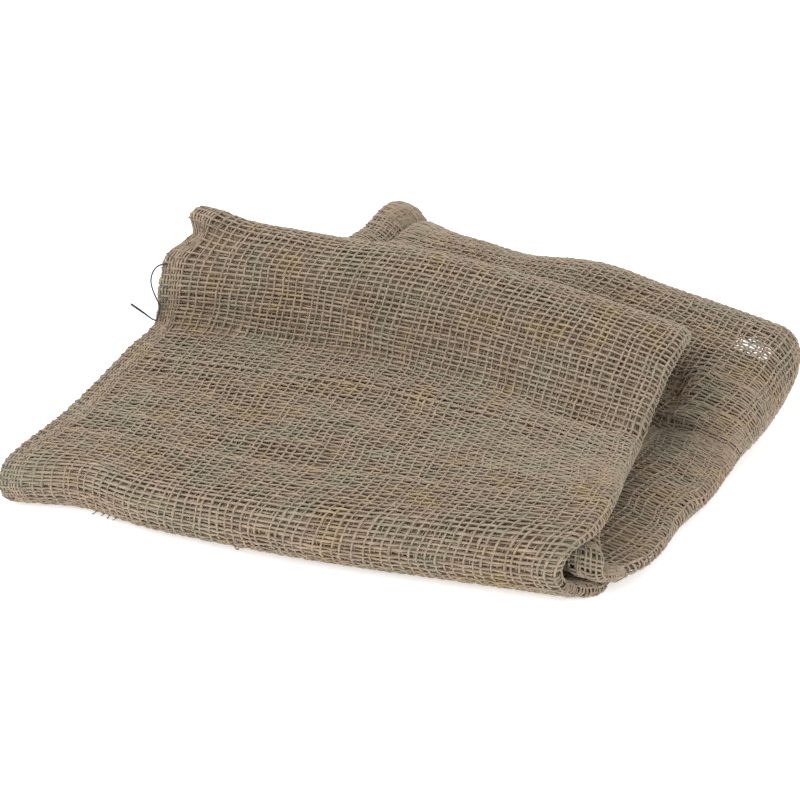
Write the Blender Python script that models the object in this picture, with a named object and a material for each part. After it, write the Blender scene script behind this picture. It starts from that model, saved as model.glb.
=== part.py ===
"""A jute sack, folded up and lying flat.

The sack is one length of open, plain-woven jute. It is doubled across its middle, and that
doubling is the sack's bottom; both sides are sewn, and the other end is the open mouth. The
empty sack is folded once along its length, so that its right side is a soft fold and its left
side is the two seams, and then twice across, which leaves four layers of four cloths each.

Everything is built from one smooth middle surface that follows the folded sack from its mouth
to its bottom, and from the distance at which each of the four cloths lies above or below it.
Sizes are in millimetres until the mesh is made, with +Z up and the front fold towards -Y.
"""
from collections import namedtuple

import bmesh
import bpy
import numpy as np

MM = 0.001

CLOTH = 1.2            # thickness of one cloth
PLY_PITCH = 2.2        # from one cloth to the next, where four of them lie pressed together
OUTER_PLY = 1.5 * PLY_PITCH   # from the middle surface to the outer cloth, there
SEAM_WALL = 0.006      # cloth that closes the left side, as a share of the width
BOTTOM_WALL = 0.2      # cloth that closes the bottom, as a share of the last mesh step
STRAIGHT = 0.12        # a stretch that turns less than this, in radians, is one mesh step long
EDGE_STEPS = 4         # mesh steps around the lengthwise fold at the right side
ACROSS = (0.0, 0.03, 0.06, 0.18, 0.34, 0.5, 0.66, 0.8, 0.93, 1.0)   # mesh lines, left side to right

# A row is one line across the sack, square to its length. It gives where the middle surface
# lies at the left side, halfway and at the right side (y and z), where its two sides are (x),
# and how loosely the four cloths lie there (1 is pressed together).
Row = namedtuple("Row", "name y_left y_mid y_right z_left z_mid z_right x_left x_right "
                        "loose_left loose_mid loose_right")

FLOOR_LAYER = (
    #    name, y left, mid, right, z left, mid, right, x left, right, loose left, mid, right
    Row("mouth", 140.0, 106.0, 68.0, 3.1, 3.6, 3.6, -70.0, 171.0, 0.85, 1.0, 1.0),
    Row("floor back", 60.0, 40.0, 15.0, 3.1, 3.6, 3.6, -94.0, 162.0, 0.85, 1.0, 1.0),
    Row("floor middle", -40.0, -45.0, -50.0, 3.1, 3.6, 3.6, -120.0, 154.0, 0.85, 1.0, 1.0),
    Row("floor front", -118.0, -118.0, -100.0, 3.1, 3.6, 3.6, -141.0, 145.0, 0.85, 1.0, 1.0),
)
TOP_PANEL = (
    Row("top front", -120.0, -118.0, -108.0, 26.5, 30.6, 34.6, -142.0, 144.0, 0.85, 1.0, 1.3),
    Row("top middle", -82.0, -76.0, -88.0, 26.7, 31.0, 35.1, -139.0, 143.0, 0.85, 1.0, 1.3),
    Row("top back", -45.0, -42.0, -68.0, 28.0, 31.5, 35.6, -137.0, 143.0, 0.85, 1.0, 1.3),
    Row("crease", -22.0, -19.0, -51.0, 30.8, 33.0, 37.0, -133.0, 143.0, 0.9, 1.0, 1.3),
)
BACK_ROLL = (
    Row("roll foot", -17.0, -14.0, -40.0, 41.0, 42.0, 42.0, -131.0, 143.0, 0.9, 1.0, 1.4),
    Row("roll face", -16.0, -7.0, -25.0, 56.0, 58.0, 50.0, -130.0, 144.0, 0.9, 1.0, 1.5),
    Row("roll shoulder", -6.0, 0.0, -9.0, 67.0, 72.0, 57.0, -127.0, 146.0, 0.9, 1.0, 1.5),
    Row("crest", 7.0, 9.0, 5.0, 80.0, 81.0, 62.0, -117.0, 148.0, 0.9, 1.0, 1.5),
    Row("roll back", 19.0, 23.0, 17.0, 76.0, 76.0, 58.0, -112.0, 148.0, 0.9, 1.0, 1.4),
    Row("roll rear", 29.0, 33.0, 23.0, 64.0, 62.0, 51.0, -114.0, 146.0, 0.9, 1.0, 1.2),
    Row("roll heel", 29.0, 33.0, 18.0, 49.0, 48.0, 43.0, -119.0, 143.0, 0.85, 1.0, 1.0),
    Row("roll under", 18.0, 21.0, 0.0, 36.0, 37.0, 36.0, -122.0, 140.0, 0.85, 1.0, 1.0),
)
SECOND_LAYER = (
    Row("second back", -6.0, -4.0, -26.0, 23.5, 26.0, 28.5, -125.0, 138.0, 0.85, 1.0, 1.0),
    Row("second middle", -45.0, -45.0, -60.0, 19.1, 22.0, 24.6, -128.0, 136.0, 0.85, 1.0, 1.0),
    Row("second front", -95.0, -100.0, -105.0, 19.0, 21.9, 24.4, -130.0, 139.0, 0.85, 1.0, 1.0),
)
THIRD_LAYER = (
    Row("third front", -85.0, -92.0, -94.0, 11.0, 12.6, 14.5, -126.0, 164.0, 0.85, 1.0, 1.15),
    Row("third middle", -25.0, -30.0, -50.0, 11.0, 12.6, 15.1, -112.0, 176.5, 0.85, 1.0, 1.4),
    Row("puff foot", 38.0, 26.0, -21.0, 11.4, 13.4, 16.5, -97.0, 184.0, 0.9, 1.1, 1.5),
    Row("puff rise", 64.0, 46.0, -5.0, 12.5, 16.5, 21.0, -91.0, 185.0, 1.3, 2.0, 3.0),
    Row("puff front", 88.0, 64.0, 14.0, 15.5, 21.5, 25.0, -84.0, 185.5, 2.0, 3.2, 4.4),
    Row("puff top", 120.0, 90.0, 44.0, 16.0, 27.5, 26.8, -64.0, 186.0, 3.0, 4.5, 5.4),
    Row("puff back", 141.0, 109.0, 69.0, 18.5, 26.5, 26.0, -56.0, 186.5, 2.8, 4.1, 5.1),
    Row("bottom", 153.0, 120.0, 83.0, 13.5, 15.5, 15.5, -50.0, 187.5, 1.6, 2.2, 2.2),
)

# A fold turns the middle surface through half a turn, from one layer to the next. It is given
# by how far forward it reaches, and by where its two sides are (x) where it starts, at its
# farthest and where it ends. Its cloths are pressed together as `tight` says.
Fold = namedtuple("Fold", "y_left y_mid y_right start_left start_right far_left far_right "
                          "end_left end_right tight steps")
FRONT_FOLD = Fold(-166.0, -163.5, -154.0, -149.0, 148.0, -153.0, 131.0, -148.0, 142.0, 1.0, 4)
INNER_FOLD = Fold(-130.0, -145.0, -139.0, -133.0, 145.0, -134.0, 149.0, -132.0, 153.0, 0.78, 4)

# A ruck is a soft rise or dip in the cloth. It is centred on a row and a place across the sack
# (0 left, 1 right), fades over that many rows and that much of the width, moves the cloth by y
# and z, and loosens it.
Ruck = namedtuple("Ruck", "row across rows width y z loose")
RUCKS = (
    Ruck("crest", 0.0, 0.9, 0.07, 0.0, 9.0, 0.0),             # the roll's raised left corner
    Ruck("crest", 0.28, 1.5, 0.12, 0.0, -2.5, 0.0),           # its top, sinking beside the corner
    Ruck("front fold 2", 0.13, 2.5, 0.09, 9.0, 0.0, 0.0),     # the front edge, drawn in
    Ruck("front fold 2", 0.55, 2.5, 0.22, -3.0, 0.0, 0.0),    # and pushed out again
    Ruck("inner fold 3", 1.0, 3.0, 0.055, -5.0, -2.0, -0.3),  # the corner, reaching out
    Ruck("third front", 1.0, 0.8, 0.055, 0.0, -1.5, 0.25),    # the lower right edge, drooping
    Ruck("third middle", 1.0, 0.9, 0.055, 0.0, -4.0, 0.5),
    Ruck("bottom", 0.0, 2.5, 0.10, 0.0, 17.0, 0.0),           # the curled back left corner
    Ruck("puff back", 0.06, 1.8, 0.025, 0.0, -6.0, 0.0),      # and the crease below its seam
    Ruck("puff foot", 0.86, 1.3, 0.05, 0.0, -4.0, 0.0),       # the dip below the roll's right end
    Ruck("puff back", 0.36, 2.5, 0.10, 0.0, -3.5, 0.0),       # the puff, sunken
    Ruck("puff back", 0.58, 2.5, 0.10, 0.0, 3.0, 0.0),        # and full again
)

SACK_COLOR = (0.38, 0.31, 0.215, 1.0)
SACK_ROUGHNESS = 0.95


def clear_scene():
    """Remove whatever the file opened with."""
    for item in list(bpy.data.objects):
        bpy.data.objects.remove(item, do_unlink=True)


def fold_rows(name, fold, before, after):
    """Rows around a fold, from the layer that ends in row `before` to row `after`."""
    rows = []
    for step in range(fold.steps + 1):
        turn = np.pi * step / fold.steps
        share = (1.0 - np.cos(turn)) / 2.0
        middle = {}
        for side in ("left", "mid", "right"):
            z_from = getattr(before, "z_" + side)
            z_to = getattr(after, "z_" + side)
            radius = abs(z_to - z_from) / 2.0
            middle["y_" + side] = getattr(fold, "y_" + side) + radius * (1.0 - np.sin(turn))
            middle["z_" + side] = z_from + (z_to - z_from) * share
            loose_from = getattr(before, "loose_" + side)
            loose_to = getattr(after, "loose_" + side)
            loose = loose_from + (loose_to - loose_from) * share
            middle["loose_" + side] = loose * (1.0 - (1.0 - fold.tight) * np.sin(turn))
        reach = np.sin(turn)
        for side in ("left", "right"):
            start = getattr(fold, "start_" + side)
            straight = start + (getattr(fold, "end_" + side) - start) * share
            middle["x_" + side] = straight + (getattr(fold, "far_" + side) - straight) * reach
        middle["name"] = f"{name} {step}"
        rows.append(Row(**middle))
    return tuple(rows)


def sack_rows():
    """All rows, from the mouth to the sack's bottom."""
    front = fold_rows("front fold", FRONT_FOLD, FLOOR_LAYER[-1], TOP_PANEL[0])
    inner = fold_rows("inner fold", INNER_FOLD, SECOND_LAYER[-1], THIRD_LAYER[0])
    return FLOOR_LAYER + front + TOP_PANEL + BACK_ROLL + SECOND_LAYER + inner + THIRD_LAYER


SACK_ROWS = sack_rows()
NAMES = [row.name for row in SACK_ROWS]
ROWS = np.array([row[1:] for row in SACK_ROWS])
ROW_STEP = np.hypot(np.diff(ROWS[:, 1]), np.diff(ROWS[:, 4]))
KNOTS = np.concatenate(([0.0], np.cumsum(np.sqrt(ROW_STEP))))
SLOPES = np.gradient(ROWS, KNOTS, axis=0)


def along(u):
    """The row at the place u of the sack's length, on a smooth curve through the table."""
    i = np.clip(np.searchsorted(KNOTS, u, side="right") - 1, 0, len(KNOTS) - 2)
    step = KNOTS[i + 1] - KNOTS[i]
    t = ((u - KNOTS[i]) / step)[..., None]
    step = step[..., None]
    return ((2 * t**3 - 3 * t**2 + 1) * ROWS[i] + (t**3 - 2 * t**2 + t) * step * SLOPES[i]
            + (3 * t**2 - 2 * t**3) * ROWS[i + 1] + (t**3 - t**2) * step * SLOPES[i + 1])


def across(row, first, w):
    """The left, middle and right values of a row, joined by one even curve across it."""
    left, middle, right = row[..., first], row[..., first + 1], row[..., first + 2]
    return left * (1 - w) * (1 - 2 * w) + middle * 4 * w * (1 - w) + right * w * (2 * w - 1)


def ruck_shares(u, w):
    """How much of each ruck there is at a place, from 0 to 1."""
    place = np.interp(u, KNOTS, np.arange(len(KNOTS)))
    for ruck in RUCKS:
        far = ((place - NAMES.index(ruck.row)) / ruck.rows)**2 + ((w - ruck.across) / ruck.width)**2
        yield ruck, np.exp(-far)


def middle_surface(u, w):
    row = along(u)
    x = row[..., 6] * (1 - w) + row[..., 7] * w
    y = across(row, 0, w)
    z = across(row, 3, w)
    for ruck, share in ruck_shares(u, w):
        y = y + ruck.y * share
        z = z + ruck.z * share
    return np.stack((x, y, z), axis=-1)


def ply_reach(u, w, inner):
    """How far a cloth lies from the middle surface. The inner one keeps close to the outer."""
    loose = across(along(u), 8, w)
    for ruck, share in ruck_shares(u, w):
        loose = loose + ruck.loose * share
    return OUTER_PLY * loose - inner * PLY_PITCH * np.minimum(loose, 1.0)


def unit(vectors):
    return vectors / np.linalg.norm(vectors, axis=-1, keepdims=True)


def surface_axes(u, w):
    """The surface's point, its direction across the sack and its outward direction."""
    tiny = 1e-3
    inside = np.clip(u, KNOTS[0] + tiny, KNOTS[-1] - tiny)
    lengthwise = middle_surface(inside + tiny, w) - middle_surface(inside - tiny, w)
    crosswise = unit(middle_surface(u, w + tiny) - middle_surface(u, w - tiny))
    outward = unit(np.cross(crosswise, lengthwise))
    return middle_surface(u, w), crosswise, outward


def cloth_line(u, inner, offset, first_w):
    """Points once along one cloth: out along the top, round the right side and back below."""
    w_line = np.array((first_w,) + ACROSS[1:])
    place = np.full(len(w_line), u)
    point, _, outward = surface_axes(place, w_line)
    reach = (ply_reach(place, w_line, inner) + offset)[:, None]
    above = point + reach * outward
    below = point - reach * outward
    edge, side, up = surface_axes(np.array([u]), np.array([1.0]))
    turn = np.linspace(np.pi / 2, -np.pi / 2, EDGE_STEPS + 1)[1:-1, None]
    round_side = edge + reach[-1] * (np.cos(turn) * side + np.sin(turn) * up)
    line = np.concatenate((above, round_side, below[::-1]))
    line[:, 2] = np.maximum(line[:, 2], 0.0)
    return line


def mesh_places():
    """Where the mesh has a line across: at every row, and between rows where the cloth turns."""
    heading = np.unwrap(np.arctan2(SLOPES[:, 4], SLOPES[:, 1]))
    places = [KNOTS[0]]
    for i, turn in enumerate(np.abs(np.diff(heading))):
        if turn > STRAIGHT:
            places.append((KNOTS[i] + KNOTS[i + 1]) / 2)
        places.append(KNOTS[i + 1])
    return places


def sack_mesh():
    """The cloth as one closed solid: an outside skin, an inside skin, a bottom and a rim."""
    places = mesh_places()
    before_bottom = places[-1] - BOTTOM_WALL * (places[-1] - places[-2])
    half = CLOTH / 2
    mesh = bmesh.new()
    skins = []
    for offset, first_w, last in ((half, 0.0, places[-1]), (-half, SEAM_WALL, before_bottom)):
        skin = []
        for u in places[:-1] + [last]:
            loop = np.concatenate((cloth_line(u, False, offset, first_w),
                                   cloth_line(u, True, -offset, first_w)[::-1]))
            skin.append([mesh.verts.new(point * MM) for point in loop])
        skins.append(skin)
    outside, inside = skins
    count = len(outside[0])
    for skin in skins:
        for near, far in zip(skin, skin[1:]):
            for i in range(count):
                j = (i + 1) % count
                mesh.faces.new((near[i], near[j], far[j], far[i]))
    for i in range(count):                       # the rim of the open mouth
        j = (i + 1) % count
        mesh.faces.new((outside[0][i], outside[0][j], inside[0][j], inside[0][i]))
    for skin in skins:                           # the bottom, where the cloth is doubled
        last = skin[-1]
        for i in range(count // 2 - 1):
            j = count - 1 - i
            mesh.faces.new((last[i], last[i + 1], last[j - 1], last[j]))
    bmesh.ops.recalc_face_normals(mesh, faces=mesh.faces)
    return mesh


def centre_on_floor(mesh):
    """Put the middle of the sack's box over the origin, with its lowest cloth at z = 0."""
    points = np.array([vert.co for vert in mesh.verts])
    low, high = points.min(axis=0), points.max(axis=0)
    shift = -np.array(((low[0] + high[0]) / 2, (low[1] + high[1]) / 2, low[2]))
    bmesh.ops.translate(mesh, verts=mesh.verts, vec=shift)


def jute():
    material = bpy.data.materials.new("jute")
    material.use_nodes = True
    shader = material.node_tree.nodes["Principled BSDF"]
    shader.inputs["Base Color"].default_value = SACK_COLOR
    shader.inputs["Roughness"].default_value = SACK_ROUGHNESS
    shader.inputs["Metallic"].default_value = 0.0
    material.diffuse_color = SACK_COLOR
    return material


def build_sack():
    mesh = sack_mesh()
    centre_on_floor(mesh)
    data = bpy.data.meshes.new("sack_cloth")
    mesh.to_mesh(data)
    mesh.free()
    for face in data.polygons:
        face.use_smooth = True
    data.materials.append(jute())
    sack = bpy.data.objects.new("sack_cloth", data)
    bpy.context.scene.collection.objects.link(sack)


clear_scene()
build_sack()
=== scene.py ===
from collections import namedtuple
from math import cos, radians, sin

import bpy
import numpy as np
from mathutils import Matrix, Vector


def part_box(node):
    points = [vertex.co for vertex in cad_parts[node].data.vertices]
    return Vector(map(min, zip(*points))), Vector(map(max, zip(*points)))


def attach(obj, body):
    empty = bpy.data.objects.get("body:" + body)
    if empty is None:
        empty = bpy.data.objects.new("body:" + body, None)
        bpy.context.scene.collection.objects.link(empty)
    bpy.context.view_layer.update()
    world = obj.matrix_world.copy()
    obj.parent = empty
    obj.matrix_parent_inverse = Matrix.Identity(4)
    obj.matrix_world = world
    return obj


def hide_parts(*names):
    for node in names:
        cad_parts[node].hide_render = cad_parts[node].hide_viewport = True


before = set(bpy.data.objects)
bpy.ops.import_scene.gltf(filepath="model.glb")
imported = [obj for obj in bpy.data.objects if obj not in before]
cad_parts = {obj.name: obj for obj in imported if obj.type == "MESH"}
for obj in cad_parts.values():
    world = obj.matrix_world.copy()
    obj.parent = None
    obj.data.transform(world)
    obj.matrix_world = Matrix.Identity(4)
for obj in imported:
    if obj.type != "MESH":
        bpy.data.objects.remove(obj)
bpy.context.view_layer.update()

# ---------------------------------------------------------------------------------------------
# The hidden cloths of the folded sack: its inner half, and the outer half where it faces down
# into the folds. They are open, plain-woven jute, doubled at the sack's bottom and sewn down
# both sides. One thin sheet stands for them, because only glimpses show through the outer yarns.
# ---------------------------------------------------------------------------------------------
MM = 0.001
PLY_PITCH = 2.2            # from one cloth to the next, where four of them lie pressed together
OUTER_PLY = 1.5 * PLY_PITCH

# A row is one line across the folded sack, square to its length. It gives where the middle of
# the four cloths lies at the left side, halfway and at the right side (y and z), where its two
# sides are (x), and how loosely the cloths lie there (1 is pressed together).
Row = namedtuple("Row", "name y_left y_mid y_right z_left z_mid z_right x_left x_right "
                        "loose_left loose_mid loose_right")

FLOOR_LAYER = (
    #    name, y left, mid, right, z left, mid, right, x left, right, loose left, mid, right
    Row("mouth", 140.0, 106.0, 68.0, 3.1, 3.6, 3.6, -70.0, 171.0, 0.85, 1.0, 1.0),
    Row("floor back", 60.0, 40.0, 15.0, 3.1, 3.6, 3.6, -94.0, 162.0, 0.85, 1.0, 1.0),
    Row("floor middle", -40.0, -45.0, -50.0, 3.1, 3.6, 3.6, -120.0, 154.0, 0.85, 1.0, 1.0),
    Row("floor front", -118.0, -118.0, -100.0, 3.1, 3.6, 3.6, -141.0, 145.0, 0.85, 1.0, 1.0),
)
TOP_PANEL = (
    Row("top front", -120.0, -118.0, -108.0, 26.5, 30.6, 34.6, -142.0, 144.0, 0.85, 1.0, 1.3),
    Row("top middle", -82.0, -76.0, -88.0, 26.7, 31.0, 35.1, -139.0, 143.0, 0.85, 1.0, 1.3),
    Row("top back", -45.0, -42.0, -68.0, 28.0, 31.5, 35.6, -137.0, 143.0, 0.85, 1.0, 1.3),
    Row("crease", -22.0, -19.0, -51.0, 30.8, 33.0, 37.0, -133.0, 143.0, 0.9, 1.0, 1.3),
)
BACK_ROLL = (
    Row("roll foot", -17.0, -14.0, -40.0, 41.0, 42.0, 42.0, -131.0, 143.0, 0.9, 1.0, 1.4),
    Row("roll face", -16.0, -7.0, -25.0, 56.0, 58.0, 50.0, -130.0, 144.0, 0.9, 1.0, 1.5),
    Row("roll shoulder", -6.0, 0.0, -9.0, 67.0, 72.0, 57.0, -127.0, 146.0, 0.9, 1.0, 1.5),
    Row("crest", 7.0, 9.0, 5.0, 80.0, 81.0, 62.0, -117.0, 148.0, 0.9, 1.0, 1.5),
    Row("roll back", 19.0, 23.0, 17.0, 76.0, 76.0, 58.0, -112.0, 148.0, 0.9, 1.0, 1.4),
    Row("roll rear", 29.0, 33.0, 23.0, 64.0, 62.0, 51.0, -114.0, 146.0, 0.9, 1.0, 1.2),
    Row("roll heel", 29.0, 33.0, 18.0, 49.0, 48.0, 43.0, -119.0, 143.0, 0.85, 1.0, 1.0),
    Row("roll under", 18.0, 21.0, 0.0, 36.0, 37.0, 36.0, -122.0, 140.0, 0.85, 1.0, 1.0),
)
SECOND_LAYER = (
    Row("second back", -6.0, -4.0, -26.0, 23.5, 26.0, 28.5, -125.0, 138.0, 0.85, 1.0, 1.0),
    Row("second middle", -45.0, -45.0, -60.0, 19.1, 22.0, 24.6, -128.0, 136.0, 0.85, 1.0, 1.0),
    Row("second front", -95.0, -100.0, -105.0, 19.0, 21.9, 24.4, -130.0, 139.0, 0.85, 1.0, 1.0),
)
THIRD_LAYER = (
    Row("third front", -85.0, -92.0, -94.0, 11.0, 12.6, 14.5, -126.0, 164.0, 0.85, 1.0, 1.15),
    Row("third middle", -25.0, -30.0, -50.0, 11.0, 12.6, 15.1, -112.0, 176.5, 0.85, 1.0, 1.4),
    Row("puff foot", 38.0, 26.0, -21.0, 11.4, 13.4, 16.5, -97.0, 184.0, 0.9, 1.1, 1.5),
    Row("puff rise", 64.0, 46.0, -5.0, 12.5, 16.5, 21.0, -91.0, 185.0, 1.3, 2.0, 3.0),
    Row("puff front", 88.0, 64.0, 14.0, 15.5, 21.5, 25.0, -84.0, 185.5, 2.0, 3.2, 4.4),
    Row("puff top", 120.0, 90.0, 44.0, 16.0, 27.5, 26.8, -64.0, 186.0, 3.0, 4.5, 5.4),
    Row("puff back", 141.0, 109.0, 69.0, 18.5, 26.5, 26.0, -56.0, 186.5, 2.8, 4.1, 5.1),
    Row("bottom", 153.0, 120.0, 83.0, 13.5, 15.5, 15.5, -50.0, 187.5, 1.6, 2.2, 2.2),
)

# A fold turns the cloths through half a turn, from one layer to the next. It is given by how
# far forward it reaches, and by where its two sides are (x) where it starts, at its farthest
# and where it ends. Its cloths are pressed together as `tight` says.
Fold = namedtuple("Fold", "y_left y_mid y_right start_left start_right far_left far_right "
                          "end_left end_right tight steps")
FRONT_FOLD = Fold(-166.0, -163.5, -154.0, -149.0, 148.0, -153.0, 131.0, -148.0, 142.0, 1.0, 4)
INNER_FOLD = Fold(-130.0, -145.0, -139.0, -133.0, 145.0, -134.0, 149.0, -132.0, 153.0, 0.78, 4)

# A ruck is a soft rise or dip in the cloth. It is centred on a row and a place across the sack
# (0 left, 1 right), fades over that many rows and that much of the width, moves the cloth by y
# and z, and loosens it.
Ruck = namedtuple("Ruck", "row across rows width y z loose")
RUCKS = (
    Ruck("crest", 0.0, 0.9, 0.07, 0.0, 9.0, 0.0),             # the roll's raised left corner
    Ruck("crest", 0.28, 1.5, 0.12, 0.0, -2.5, 0.0),           # its top, sinking beside the corner
    Ruck("front fold 2", 0.13, 2.5, 0.09, 9.0, 0.0, 0.0),     # the front edge, drawn in
    Ruck("front fold 2", 0.55, 2.5, 0.22, -3.0, 0.0, 0.0),    # and pushed out again
    Ruck("inner fold 3", 1.0, 3.0, 0.055, -5.0, -2.0, -0.3),  # the corner, reaching out
    Ruck("third front", 1.0, 0.8, 0.055, 0.0, -1.5, 0.25),    # the lower right edge, drooping
    Ruck("third middle", 1.0, 0.9, 0.055, 0.0, -4.0, 0.5),
    Ruck("bottom", 0.0, 2.5, 0.10, 0.0, 17.0, 0.0),           # the curled back left corner
    Ruck("puff back", 0.06, 1.8, 0.025, 0.0, -6.0, 0.0),      # and the crease below its seam
    Ruck("puff foot", 0.86, 1.3, 0.05, 0.0, -4.0, 0.0),       # the dip below the roll's right end
    Ruck("puff back", 0.36, 2.5, 0.10, 0.0, -3.5, 0.0),       # the puff, sunken
    Ruck("puff back", 0.58, 2.5, 0.10, 0.0, 3.0, 0.0),        # and full again
)


def fold_rows(name, fold, before, after):
    """Rows around a fold, from the layer that ends in row `before` to row `after`."""
    rows = []
    for step in range(fold.steps + 1):
        turn = np.pi * step / fold.steps
        share = (1.0 - np.cos(turn)) / 2.0
        middle = {}
        for side in ("left", "mid", "right"):
            z_from = getattr(before, "z_" + side)
            z_to = getattr(after, "z_" + side)
            radius = abs(z_to - z_from) / 2.0
            middle["y_" + side] = getattr(fold, "y_" + side) + radius * (1.0 - np.sin(turn))
            middle["z_" + side] = z_from + (z_to - z_from) * share
            loose_from = getattr(before, "loose_" + side)
            loose_to = getattr(after, "loose_" + side)
            loose = loose_from + (loose_to - loose_from) * share
            middle["loose_" + side] = loose * (1.0 - (1.0 - fold.tight) * np.sin(turn))
        reach = np.sin(turn)
        for side in ("left", "right"):
            start = getattr(fold, "start_" + side)
            straight = start + (getattr(fold, "end_" + side) - start) * share
            middle["x_" + side] = straight + (getattr(fold, "far_" + side) - straight) * reach
        middle["name"] = f"{name} {step}"
        rows.append(Row(**middle))
    return tuple(rows)


SACK_ROWS = (FLOOR_LAYER + fold_rows("front fold", FRONT_FOLD, FLOOR_LAYER[-1], TOP_PANEL[0])
             + TOP_PANEL + BACK_ROLL + SECOND_LAYER
             + fold_rows("inner fold", INNER_FOLD, SECOND_LAYER[-1], THIRD_LAYER[0])
             + THIRD_LAYER)
NAMES = [row.name for row in SACK_ROWS]
ROWS = np.array([row[1:] for row in SACK_ROWS])
ROW_STEP = np.hypot(np.diff(ROWS[:, 1]), np.diff(ROWS[:, 4]))
KNOTS = np.concatenate(([0.0], np.cumsum(np.sqrt(ROW_STEP))))
SLOPES = np.gradient(ROWS, KNOTS, axis=0)
TINY = 1e-3                # the small step over which a slope is taken


def smooth_way(t, start, slope, end, end_slope):
    """The values on a smooth way from one value to the next, which t covers from 0 to 1."""
    return ((2 * t**3 - 3 * t**2 + 1) * start + (t**3 - 2 * t**2 + t) * slope
            + (3 * t**2 - 2 * t**3) * end + (t**3 - t**2) * end_slope)


def row_at(u):
    """The row at the place u of the sack's length, on a smooth curve through the table."""
    i = np.clip(np.searchsorted(KNOTS, u, side="right") - 1, 0, len(KNOTS) - 2)
    step = (KNOTS[i + 1] - KNOTS[i])[..., None]
    t = (u - KNOTS[i])[..., None] / step
    return smooth_way(t, ROWS[i], step * SLOPES[i], ROWS[i + 1], step * SLOPES[i + 1])


def across(row, first, w):
    """The left, middle and right values of a row, joined by one even curve across it."""
    left, middle, right = row[..., first], row[..., first + 1], row[..., first + 2]
    return left * (1 - w) * (1 - 2 * w) + middle * 4 * w * (1 - w) + right * w * (2 * w - 1)


def ruck_shares(u, w):
    """How much of each ruck there is at a place, from 0 to 1."""
    place = np.interp(u, KNOTS, np.arange(len(KNOTS)))
    for ruck in RUCKS:
        far = ((place - NAMES.index(ruck.row)) / ruck.rows)**2 + ((w - ruck.across) / ruck.width)**2
        yield ruck, np.exp(-far)


def middle_surface(u, w):
    """The middle of the four cloths, at the place u of the length and the share w of the width."""
    row = row_at(u)
    x = row[..., 6] * (1 - w) + row[..., 7] * w
    y = across(row, 0, w)
    z = across(row, 3, w)
    for ruck, share in ruck_shares(u, w):
        y = y + ruck.y * share
        z = z + ruck.z * share
    return np.stack((x, y, z), axis=-1)


def ply_reach(u, w, inner):
    """How far a cloth lies from the middle surface. The inner one keeps close to the outer."""
    loose = across(row_at(u), 8, w)
    for ruck, share in ruck_shares(u, w):
        loose = loose + ruck.loose * share
    return OUTER_PLY * loose - inner * PLY_PITCH * np.minimum(loose, 1.0)


def unit(vectors):
    """The same directions, each of length 1."""
    return vectors / np.linalg.norm(vectors, axis=-1, keepdims=True)


OUTER, INNER = 0, 1        # the two cloths of each side of the sack


def folded_cloth(u, s, cloth, past_bottom=0.0):
    """A point of one of the two cloths, and the way out of it there.

    s runs across the cloth: 0 is the left seam, 1 the middle of the turn round the right side
    and 2 the left seam again, on the underside. Past the left seam and past the sack's bottom
    the outer cloth turns over into the inner one.
    """
    u, s, past_bottom = np.broadcast_arrays(u, s, past_bottom)
    under = (s > 1)[..., None]
    s = np.where(s > 1, 2 - s, s)
    u = np.clip(u, TINY, KNOTS[-1] - TINY)
    last = np.ones_like(u)
    width = np.linalg.norm(middle_surface(u, last) - middle_surface(u, 0 * last), axis=-1)
    turn_radius = ply_reach(u, last, cloth)
    out = s * (width + turn_radius * np.pi / 2)
    w = np.clip(out / width, 0, 1)
    point = middle_surface(u, w)
    lengthwise = unit(middle_surface(u + TINY, w) - middle_surface(u - TINY, w))
    crosswise = unit(middle_surface(u, w + TINY) - middle_surface(u, w - TINY))
    up = unit(np.cross(crosswise, lengthwise))
    turn = np.clip((out - width) / turn_radius, 0, np.pi / 2)[..., None]
    away = np.sin(turn) * crosswise + np.where(under, -1, 1) * np.cos(turn) * up
    reach = ply_reach(u, w, cloth)
    lip = (ply_reach(u, w, OUTER) - ply_reach(u, w, INNER)) / 2
    past_left = np.maximum(-out, 0)
    curl = np.clip(np.maximum(past_left, past_bottom) / lip, 0, np.pi)[..., None]
    beyond = np.where((past_left > 0)[..., None], -crosswise, lengthwise)
    outward = np.cos(curl) * away + np.sin(curl) * beyond
    point = point + away * (reach - lip)[..., None] + outward * lip[..., None]
    return point, outward


# How far along the cloth each place u is, in millimetres from the mouth.
FINE = np.linspace(0, KNOTS[-1], 1500)
PATH = np.concatenate(([0.0], np.cumsum(np.linalg.norm(
    np.diff(folded_cloth(FINE, 0.5, OUTER)[0], axis=0), axis=1))))


def along_to(name):
    """How far along the cloth the row of that name is."""
    return float(np.interp(KNOTS[NAMES.index(name)], FINE, PATH))


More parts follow.
